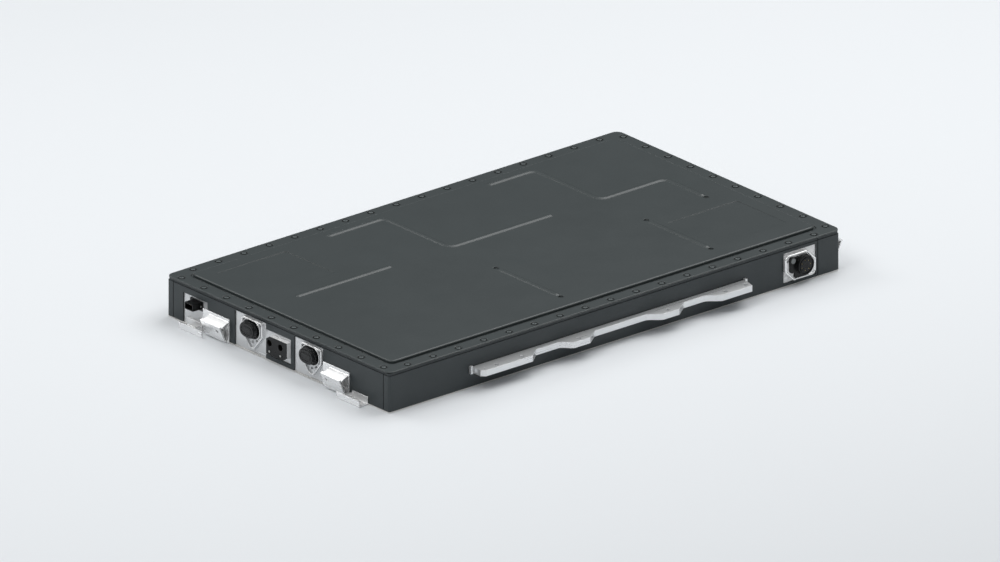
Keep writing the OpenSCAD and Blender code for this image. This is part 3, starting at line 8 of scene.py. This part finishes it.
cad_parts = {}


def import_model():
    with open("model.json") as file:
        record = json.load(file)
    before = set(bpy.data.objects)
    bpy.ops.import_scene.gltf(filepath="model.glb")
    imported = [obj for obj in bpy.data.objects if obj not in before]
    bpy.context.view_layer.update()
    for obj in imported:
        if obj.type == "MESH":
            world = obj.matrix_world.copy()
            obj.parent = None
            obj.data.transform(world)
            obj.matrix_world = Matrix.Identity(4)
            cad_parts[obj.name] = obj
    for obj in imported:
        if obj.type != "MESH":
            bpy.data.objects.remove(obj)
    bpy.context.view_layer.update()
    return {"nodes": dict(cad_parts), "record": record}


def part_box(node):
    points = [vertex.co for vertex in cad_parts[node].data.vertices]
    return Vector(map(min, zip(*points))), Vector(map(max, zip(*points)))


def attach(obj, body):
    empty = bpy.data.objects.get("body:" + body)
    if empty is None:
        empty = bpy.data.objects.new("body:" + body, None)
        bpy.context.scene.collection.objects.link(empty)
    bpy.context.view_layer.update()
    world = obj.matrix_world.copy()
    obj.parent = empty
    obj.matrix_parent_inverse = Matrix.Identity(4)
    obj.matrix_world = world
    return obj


# Metres throughout: X along the pack with its connector end at -X, Y across it, Z up.

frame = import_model()
NODES = frame["nodes"]


# Materials

def srgb(r, g, b):
    """Linear colour from display values of 0 to 255."""
    def lin(c):
        c = c / 255
        return c / 12.92 if c <= 0.04045 else ((c + 0.055) / 1.055) ** 2.4
    return (lin(r), lin(g), lin(b), 1)


def mixed(c, f):
    """The colour c made lighter or darker by the factor f."""
    return tuple(max(0, min(1, v * f)) for v in c[:3]) + (1,)


# Radii of the small rounds that the shading shows on sharp edges
METAL_EDGE = 0.0016
PLASTIC_EDGE = 0.001


class Mat:
    """A node material on the object's own coordinates, in metres."""

    # The colour sockets of a Mix node, by number because their names repeat
    MIX_FACTOR, MIX_A, MIX_B = 0, 6, 7
    MIX_COLOR = 2

    def __init__(self, name, **inputs):
        self.m = bpy.data.materials.new(name)
        self.m.use_nodes = True
        self.t = self.m.node_tree
        self.b = next(n for n in self.t.nodes if n.type == "BSDF_PRINCIPLED")
        for key, value in inputs.items():
            self.b.inputs[key.replace("_", " ")].default_value = value
        self.co = self.t.nodes.new("ShaderNodeTexCoord").outputs["Object"]
        self.normal = None

    def edges(self, radius):
        """Small rounds on every sharp edge, in the shading only."""
        n = self.node("ShaderNodeBevel", samples=6)
        n.inputs["Radius"].default_value = radius
        self.normal = n.outputs["Normal"]
        self.t.links.new(self.normal, self.b.inputs["Normal"])
        return self

    def node(self, kind, **settings):
        n = self.t.nodes.new(kind)
        for key, value in settings.items():
            setattr(n, key, value)
        return n

    def stretch(self, scale):
        """The coordinates scaled, so that a noise on them draws out where scale is small."""
        n = self.node("ShaderNodeMapping")
        n.inputs["Scale"].default_value = scale
        self.t.links.new(self.co, n.inputs["Vector"])
        return n.outputs["Vector"]

    def noise(self, scale, detail=3, rough=0.55, along=None, seed=0):
        n = self.node("ShaderNodeTexNoise", noise_dimensions="4D")
        n.inputs["Scale"].default_value = scale
        n.inputs["Detail"].default_value = detail
        n.inputs["Roughness"].default_value = rough
        n.inputs["W"].default_value = seed
        self.t.links.new(self.stretch(along) if along else self.co, n.inputs["Vector"])
        return n.outputs["Fac"]

    def ramp(self, fac, stops):
        """Colours or grey levels at places from 0 to 1."""
        n = self.node("ShaderNodeValToRGB")
        while len(n.color_ramp.elements) < len(stops):
            n.color_ramp.elements.new(0.5)
        for e, (p, c) in zip(n.color_ramp.elements, stops):
            e.position = p
            e.color = c if isinstance(c, tuple) else (c, c, c, 1)
        self.t.links.new(fac, n.inputs["Fac"])
        return n.outputs["Color"]

    def mix(self, fac, a, b, how="MIX"):
        n = self.node("ShaderNodeMix", data_type="RGBA", blend_type=how)
        for sock, value in ((self.MIX_FACTOR, fac), (self.MIX_A, a), (self.MIX_B, b)):
            if isinstance(value, (float, int, tuple)):
                n.inputs[sock].default_value = value
            else:
                self.t.links.new(value, n.inputs[sock])
        return n.outputs[self.MIX_COLOR]

    def color(self, out):
        self.t.links.new(out, self.b.inputs["Base Color"])

    def painted_crevice_shade(self, reach, dark):
        """Painted shade: a factor for the colour, down to dark where another surface stands closer
        than reach.
        """
        n = self.node("ShaderNodeAmbientOcclusion", samples=6)
        n.inputs["Distance"].default_value = reach
        return self.ramp(n.outputs["AO"], [(0.35, dark), (0.8, 1.0)])

    def rough(self, fac, lo, hi):
        self.t.links.new(self.ramp(fac, [(0.3, lo), (0.7, hi)]), self.b.inputs["Roughness"])

    def bump(self, fac, height, strength=1.0):
        n = self.node("ShaderNodeBump")
        n.inputs["Strength"].default_value = strength
        n.inputs["Distance"].default_value = height
        self.t.links.new(fac, n.inputs["Height"])
        if self.normal:
            self.t.links.new(self.normal, n.inputs["Normal"])
        self.normal = n.outputs["Normal"]
        self.t.links.new(self.normal, self.b.inputs["Normal"])


def coat(name, rgb, lo, hi, spec, grain=0.00006, round_by=0, shade=None):
    """Powder coat with fine orange peel and faint clouding.

    round_by softens pressed steps, and shade gives the reach and darkness of the shade painted
    into crevices.
    """
    c = srgb(*rgb)
    m = Mat(name, Specular_IOR_Level=spec)
    if round_by:
        m.edges(round_by)
    cloud = m.ramp(m.noise(5, 4), [(0.3, mixed(c, 0.93)), (0.7, mixed(c, 1.07))])
    fine = m.ramp(m.noise(260, 2, seed=3), [(0.35, mixed(c, 0.9)), (0.65, mixed(c, 1.08))])
    paint = m.mix(0.35, cloud, fine)
    # Painted shade: with shade given, the colour darkens in crevices.
    m.color(m.mix(1.0, paint, m.painted_crevice_shade(*shade), "MULTIPLY") if shade else paint)
    m.rough(m.noise(14, 5, seed=5), lo, hi)
    m.bump(m.noise(900, 2, seed=7), grain)
    m.bump(m.noise(9, 2, seed=9), 0.0002, 0.35)
    return m.m


def metal(name, rgb, lo, hi, brushed=(1, 1, 1), strength=0.00001, metallic=1.0):
    """Bare metal with soft stains, and lines along the axis where brushed is small."""
    c = srgb(*rgb)
    m = Mat(name, Metallic=metallic).edges(METAL_EDGE)
    stain = m.ramp(m.noise(14, 4, 0.5), [(0.3, mixed(c, 0.93)), (0.7, mixed(c, 1.03))])
    lines = m.ramp(m.noise(180, 3, along=brushed, seed=2),
                   [(0.3, mixed(c, 0.92)), (0.7, mixed(c, 1.04))])
    m.color(m.mix(0.4, stain, lines))
    m.rough(m.noise(40, 3, along=brushed, seed=4), lo, hi)
    m.bump(m.noise(420, 2, along=brushed, seed=6), strength)
    return m.m


def plastic(name, rgb, lo=0.4, hi=0.55, spec=0.5):
    """Moulded plastic with a fine spark eroded grain."""
    c = srgb(*rgb)
    m = Mat(name, Specular_IOR_Level=spec).edges(PLASTIC_EDGE)
    m.color(m.ramp(m.noise(35, 4), [(0.3, mixed(c, 0.85)), (0.7, mixed(c, 1.12))]))
    m.rough(m.noise(90, 3, seed=2), lo, hi)
    m.bump(m.noise(500, 2, seed=4), 0.00001)
    return m.m


def rubber(name, rgb):
    """Matt rubber or gel with a fine grain."""
    c = srgb(*rgb)
    m = Mat(name, Specular_IOR_Level=0.25)
    m.color(m.ramp(m.noise(80, 4), [(0.3, mixed(c, 0.8)), (0.7, mixed(c, 1.25))]))
    m.rough(m.noise(120, 3, seed=2), 0.75, 0.92)
    m.bump(m.noise(1200, 3, seed=4), 0.00008)
    return m.m


# The directions in which a metal is drawn or rolled
ALONG_X = (0.04, 1, 1)
ROLLED_X = (0.05, 1, 1)
ALONG_Y = (1, 0.06, 1)
BAR_Y = (1, 0.1, 1)

# A finish for each of the record's material slots
LOOKS = {
    "coated_cover": coat("coated_cover", (51, 58, 59), 0.32, 0.38, spec=0.58, grain=0.00005,
                         round_by=0.004),
    # The casing's colour has painted shade in its crevices.
    "coated_casing": coat("coated_casing", (55, 61, 63), 0.4, 0.52, spec=0.4,
                          shade=(0.009, 0.08)),
    "coated_bolts": coat("coated_bolts", (80, 87, 88), 0.26, 0.34, spec=0.55, round_by=0.003),
    "bare_aluminium": metal("bare_aluminium", (222, 223, 224), 0.2, 0.3, ALONG_Y, metallic=0.45),
    "sheet_aluminium": metal("sheet_aluminium", (226, 225, 222), 0.36, 0.5, ROLLED_X,
                             metallic=0.3),
    "steel_screws": metal("steel_screws", (150, 151, 150), 0.3, 0.42),
    "steel_straps": metal("steel_straps", (170, 172, 174), 0.3, 0.45, ALONG_Y),
    "gasket_rubber": rubber("gasket_rubber", (12, 13, 14)),
    "black_plastic": plastic("black_plastic", (15, 16, 17), 0.26, 0.36, spec=0.3),
    "cap_plastic": plastic("cap_plastic", (18, 20, 21), 0.2, 0.3, spec=0.4),
    "plug_plastic": plastic("plug_plastic", (128, 132, 132)),
    "contact_metal": metal("contact_metal", (188, 172, 132), 0.3, 0.42),
    "pin_metal": metal("pin_metal", (190, 190, 186), 0.32, 0.44),
    "copper_bars": metal("copper_bars", (196, 116, 76), 0.3, 0.44, BAR_Y),
    "cell_film": plastic("cell_film", (48, 92, 140), 0.22, 0.32),
    "pad_gel": rubber("pad_gel", (198, 170, 172)),
    "insulation_film": plastic("insulation_film", (222, 214, 190), 0.6, 0.75),
    "box_plastic": plastic("box_plastic", (40, 42, 44)),
    "relay_body": plastic("relay_body", (196, 196, 188)),
    "fuse_body": plastic("fuse_body", (216, 210, 196), 0.5, 0.65),
}

# Finishes of single nodes, which share the slot of bare aluminium in the record
PRESSED = metal("pressed_aluminium", (254, 254, 254), 0.22, 0.3, ALONG_Y, metallic=0.72)
EXTRUDED = metal("extruded_aluminium", (236, 237, 238), 0.26, 0.36, ALONG_X, metallic=0.62)
# A lighter aluminium for the added crowns, whose brightness is a painted highlight on their
# rounded edges.
PAINTED_HIGHLIGHT = metal("painted_highlight_aluminium", (254, 254, 254), 0.12, 0.2, strength=0.000004,
                 metallic=0.6)
DIE_CAST = metal("die_cast_aluminium", (252, 252, 252), 0.34, 0.44, metallic=0.05)
OWN = {"power_socket_housing": DIE_CAST, "charge_plate": DIE_CAST,
       "wedge_bracket_left": PRESSED, "wedge_bracket_right": PRESSED,
       "rear_bracket_left": PRESSED, "rear_bracket_right": PRESSED,
       "tray_bracket_left": PRESSED, "tray_bracket_right": PRESSED,
       "side_rail_left": EXTRUDED, "side_rail_right": EXTRUDED}

for entry in frame["record"]["subparts"]:
    obj = NODES[entry["node"]]
    for s in obj.material_slots:
        s.material = OWN.get(entry["node"], LOOKS[entry["material_slot"]])


# Fine pieces, each on the CAD piece that carries it

# Places on the pack that no CAD box gives
BOSS_X = -0.6884
COLLAR_X = -0.6904
CONNECTOR_Z = 0.0625
FLANGE_Z = 0.1031
FRAME_X, FRAME_Y, FRAME_Z = 0.561, -0.4026, 0.047
FRAME_SCREW = (0.5195, -0.4049, 0.0655)


def piece(name, bm, slot, finish=None):
    """A mesh object from bm, in the finish of its slot or its own, riding on the one body."""
    mesh = bpy.data.meshes.new(name)
    bm.normal_update()
    bm.to_mesh(mesh)
    bm.free()
    mesh.shade_smooth()
    o = bpy.data.objects.new(name, mesh)
    bpy.context.collection.objects.link(o)
    mesh.materials.append(finish or LOOKS[slot])
    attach(o, "root")


def turns(count):
    """Angles evenly round a full turn."""
    return [2 * math.pi * k / count for k in range(count)]


def tube(bm, path, radius, closed=False, sides=8, flatten=1.0, normal=(1, 0, 0)):
    """A round rod along a path, flattened along the given normal. Open ends taper."""
    end_share = 0.55
    n = len(path)
    flat = Vector(normal).normalized()
    rings = []
    for i, p in enumerate(path):
        a = path[(i - 1) % n] if closed or i > 0 else path[i]
        b = path[(i + 1) % n] if closed or i < n - 1 else path[i]
        run = (Vector(b) - Vector(a)).normalized()
        side = run.cross(flat).normalized()
        r = radius * (end_share if not closed and i in (0, n - 1) else 1.0)
        rings.append([bm.verts.new(Vector(p) + side * math.cos(t) * r
                                   + flat * math.sin(t) * r * flatten) for t in turns(sides)])
    for i in range(n if closed else n - 1):
        a, b = rings[i], rings[(i + 1) % n]
        for k in range(sides):
            bm.faces.new((a[k], a[(k + 1) % sides], b[(k + 1) % sides], b[k]))
    if not closed:
        bm.faces.new(rings[0][::-1])
        bm.faces.new(rings[-1])


def stadium(w, h):
    """Points round a slot shape in (y, z)."""
    steps = 14
    half = (w - h) / 2
    pts = []
    for s in (1, -1):
        for k in range(steps + 1):
            t = -math.pi / 2 + math.pi * k / steps
            pts.append((s * (half + h / 2 * math.cos(t)), s * h / 2 * math.sin(t)))
    return pts


def cap_ribs(side):
    """Two oval ribs and a rim on the closed cap's face, and grip ribs round its ends."""
    lo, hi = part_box("hv_cap_" + side)
    cy, cz = (lo[1] + hi[1]) / 2, (lo[2] + hi[2]) / 2
    w, h = hi[1] - lo[1], hi[2] - lo[2]
    rib_r, grip_r = 0.0011, 0.0008
    rim_inset = 0.0022
    bm = bmesh.new()
    x = lo[0] + 0.0006
    for inset in (0.013, 0.023):
        tube(bm, [(x, cy + a, cz + b) for a, b in stadium(w - inset, h - inset)],
             rib_r, True, flatten=0.8)
    tube(bm, [(x + rim_inset, cy + a, cz + b) for a, b in stadium(w - rim_inset, h - rim_inset)],
         rib_r, True)
    grip_step = 24
    reach = h / 2 - 0.0002
    for s in (1, -1):
        for k in range(-3, 4):
            t = math.radians(grip_step * k)
            y = cy + s * ((w - h) / 2 + reach * math.cos(t))
            z = cz + reach * math.sin(t)
            along = (lo[0] + 0.0042, lo[0] + 0.0055, hi[0] - 0.0025, hi[0] - 0.0015)
            tube(bm, [(a, y, z) for a in along], grip_r, sides=6,
                 normal=(0, math.cos(t) * s, math.sin(t)))
    piece("cap_ribs_" + side, bm, "cap_plastic")


def islands(obj):
    """World points of each separate solid of a node."""
    bm = bmesh.new()
    bm.from_mesh(obj.data)
    bmesh.ops.remove_doubles(bm, verts=bm.verts, dist=0.00001)
    seen, out = set(), []
    for v in bm.verts:
        if v in seen:
            continue
        seen.add(v)
        queue, group = [v], []
        while queue:
            a = queue.pop()
            group.append(obj.matrix_world @ a.co)
            for e in a.link_edges:
                b = e.other_vert(a)
                if b not in seen:
                    seen.add(b)
                    queue.append(b)
        out.append(group)
    bm.free()
    return out


def bolt_shade_rings():
    """Dark ring round each cover bolt's head, on the flange: a thin sealing ring, dark to paint
    the shade of a recess round the head.
    """
    ring_r, rod_r = 0.0068, 0.0009
    bm = bmesh.new()
    for island in islands(NODES["cover_bolts"]):
        xs, ys = [v.x for v in island], [v.y for v in island]
        cx, cy = (min(xs) + max(xs)) / 2, (min(ys) + max(ys)) / 2
        tube(bm, [(cx + ring_r * math.cos(a), cy + ring_r * math.sin(a), FLANGE_Z)
                  for a in turns(28)], rod_r, True, 6, 0.45, (0, 0, 1))
    piece("bolt_shade_rings", bm, "gasket_rubber")


def barrel_rings():
    """Raised rings on the round connector's barrel, between its contacts and on its rim."""
    lo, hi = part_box("charge_connector")
    pins_lo, pins_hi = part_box("charge_pins")
    cx, cz = (pins_lo[0] + pins_hi[0]) / 2, (pins_lo[2] + pins_hi[2]) / 2
    face_y = lo[1] + 0.0005
    bm = bmesh.new()
    for r, depth, rod_r in ((0.0080, 0.0, 0.0011), (0.0222, 0.0002, 0.0012),
                            (0.0236, 0.0052, 0.0008), (0.0236, 0.0085, 0.0008)):
        tube(bm, [(cx + r * math.cos(a), face_y + depth, cz + r * math.sin(a))
                  for a in turns(48)], rod_r, True, normal=(0, 1, 0), flatten=0.6)
    piece("barrel_rings", bm, "cap_plastic")


def rounded(points, r, steps=5):
    """Corner points of a closed outline, each swapped for a short arc."""
    out = []
    n = len(points)
    for i, p in enumerate(points):
        p = Vector(p)
        a = (Vector(points[i - 1]) - p).normalized() * r
        b = (Vector(points[(i + 1) % n]) - p).normalized() * r
        out += [tuple(p + a * (1 - t) ** 2 + b * t ** 2)
                for t in (k / steps for k in range(steps + 1))]
    return out


def boss_crown(side):
    """Glossy round crown on the rim of the shield shaped boss and on the flange's collar, lighter
    than the panel to paint the rim's highlights.
    """
    lo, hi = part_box("hv_connector_" + side)
    cy = (lo[1] + hi[1]) / 2
    half, top, shoulder, tip_half, tip = 0.03525, 0.08375, 0.0497, 0.0049, 0.01425
    shield = [(-half, top), (half, top), (half, shoulder),
              (tip_half, tip), (-tip_half, tip), (-half, shoulder)]
    bm = bmesh.new()
    tube(bm, [(BOSS_X, cy + a, b) for a, b in rounded(shield, 0.006)], 0.0021, True, 10, 0.7)
    tube(bm, [(COLLAR_X, cy + a, CONNECTOR_Z + b) for a, b in stadium(0.0621, 0.0451)],
         0.0009, True)
    piece("boss_crown_" + side, bm, "bare_aluminium", PAINTED_HIGHLIGHT)


def frame_crown():
    """Glossy rounded edge along the front of the octagonal frame, with two larger cuts, lighter to
    paint the edge's highlight.
    """
    w, h, big, small = 0.045, 0.031, 0.024, 0.007
    share_x, share_z = 0.975, 0.965
    pts = [(-w, -h + big), (-w + big, -h), (w - small, -h), (w, -h + small),
           (w, h - big), (w - big, h), (-w + small, h), (-w, h - small)]
    bm = bmesh.new()
    tube(bm, [(FRAME_X + a * share_x, FRAME_Y, FRAME_Z + b * share_z)
              for a, b in rounded(pts, 0.002, 3)], 0.0033, True, 12, 1.0, (0, 1, 0))
    piece("frame_crown", bm, "bare_aluminium", PAINTED_HIGHLIGHT)


def frame_screw():
    """Small socket head screw at the upper left of the octagonal frame."""
    bm = bmesh.new()
    turn = Matrix.Translation(FRAME_SCREW) @ Matrix.Rotation(math.pi / 2, 4, "X")
    bmesh.ops.create_cone(bm, cap_ends=True, segments=28, radius1=0.0026, radius2=0.0024,
                          depth=0.001, matrix=turn)
    top = min(bm.faces, key=lambda f: f.calc_center_median().y)
    bmesh.ops.inset_region(bm, faces=[top], thickness=0.0007, depth=-0.0006)
    piece("frame_screw", bm, "steel_screws")


for side in ("left", "right"):
    cap_ribs(side)
    boss_crown(side)
bolt_shade_rings()
barrel_rings()
frame_crown()
frame_screw()


# Floor, light and camera

PACK_MIDDLE = Vector((0, 0, 0.05))


def area(name, size, power, place):
    """A soft rectangular lamp that points at the pack."""
    data = bpy.data.lights.new(name, "AREA")
    data.shape = "RECTANGLE"
    data.size, data.size_y = size
    data.energy = power
    o = bpy.data.objects.new(name, data)
    bpy.context.collection.objects.link(o)
    o.location = place
    o.rotation_euler = (PACK_MIDDLE - Vector(place)).to_track_quat("-Z", "Y").to_euler()


def stage_floor():
    """Plain pale floor just under the pack."""
    half_side, gap = 12, 0.0004
    bm = bmesh.new()
    bmesh.ops.create_grid(bm, x_segments=1, y_segments=1, size=half_side)
    mesh = bpy.data.meshes.new("floor")
    bm.to_mesh(mesh)
    bm.free()
    o = bpy.data.objects.new("floor", mesh)
    bpy.context.collection.objects.link(o)
    o.location.z = -gap
    m = bpy.data.materials.new("floor")
    m.use_nodes = True
    t = m.node_tree
    t.nodes.clear()
    out = t.nodes.new("ShaderNodeOutputMaterial")
    diff = t.nodes.new("ShaderNodeBsdfDiffuse")
    diff.inputs["Color"].default_value = (0.76, 0.78, 0.80, 1)
    t.links.new(diff.outputs[0], out.inputs["Surface"])
    mesh.materials.append(m)


def world():
    """Dark low and lighter high for what lights the pack, plain and pale behind it."""
    w = bpy.data.worlds.new("world")
    bpy.context.scene.world = w
    w.use_nodes = True
    t = w.node_tree
    t.nodes.clear()
    out = t.nodes.new("ShaderNodeOutputWorld")
    lit = t.nodes.new("ShaderNodeBackground")
    lit.inputs["Strength"].default_value = 1.0
    at = t.nodes.new("ShaderNodeTexCoord")
    parts = t.nodes.new("ShaderNodeSeparateXYZ")
    t.links.new(at.outputs["Generated"], parts.inputs[0])
    sky = t.nodes.new("ShaderNodeValToRGB")
    for place, v in ((0.1, 0.12), (0.45, 0.2), (0.62, 0.5), (0.8, 0.55)):
        e = sky.color_ramp.elements.new(place)
        e.color = (v * 0.97, v * 0.99, v, 1)
    sky.color_ramp.elements[0].color = (0.1, 0.1, 0.1, 1)
    sky.color_ramp.elements[-1].color = (0.6, 0.61, 0.62, 1)
    t.links.new(parts.outputs["Z"], sky.inputs["Fac"])
    t.links.new(sky.outputs["Color"], lit.inputs["Color"])
    seen = t.nodes.new("ShaderNodeBackground")
    seen.inputs["Color"].default_value = (0.93, 0.95, 0.97, 1)
    seen.inputs["Strength"].default_value = 1.0
    path = t.nodes.new("ShaderNodeLightPath")
    mix = t.nodes.new("ShaderNodeMixShader")
    t.links.new(path.outputs["Is Camera Ray"], mix.inputs["Fac"])
    t.links.new(lit.outputs[0], mix.inputs[1])
    t.links.new(seen.outputs[0], mix.inputs[2])
    t.links.new(mix.outputs[0], out.inputs["Surface"])


def camera():
    """Parallel view from the photo's side. The shifts put the pack where the photo has it."""
    az, el = math.radians(-40.35), math.radians(22.078)
    width_seen, distance = 2.3202, 4
    shift_right, shift_up = -0.00798, 0.0277
    right = Vector((math.cos(az), math.sin(az), 0))
    back = Vector((math.sin(az) * math.cos(el), -math.cos(az) * math.cos(el), math.sin(el)))
    up = back.cross(right)
    data = bpy.data.cameras.new("camera")
    data.type = "ORTHO"
    data.ortho_scale = width_seen
    o = bpy.data.objects.new("camera", data)
    bpy.context.collection.objects.link(o)
    turn = Matrix((right, up, back)).transposed().to_4x4()
    turn.translation = back * distance + right * shift_right + up * shift_up
    o.matrix_world = turn
    bpy.context.scene.camera = o


stage_floor()
world()
camera()
area("right_soft", (4.2, 4.2), 140, (2.5, 0.0, 4.2))
area("left_soft", (2.2, 2.2), 52, (-2.8, -0.4, 3.9))
area("back_soft", (2.2, 2.0), 42, (-1.4, 3.1, 3.2))
bpy.context.scene.view_settings.view_transform = "Standard"
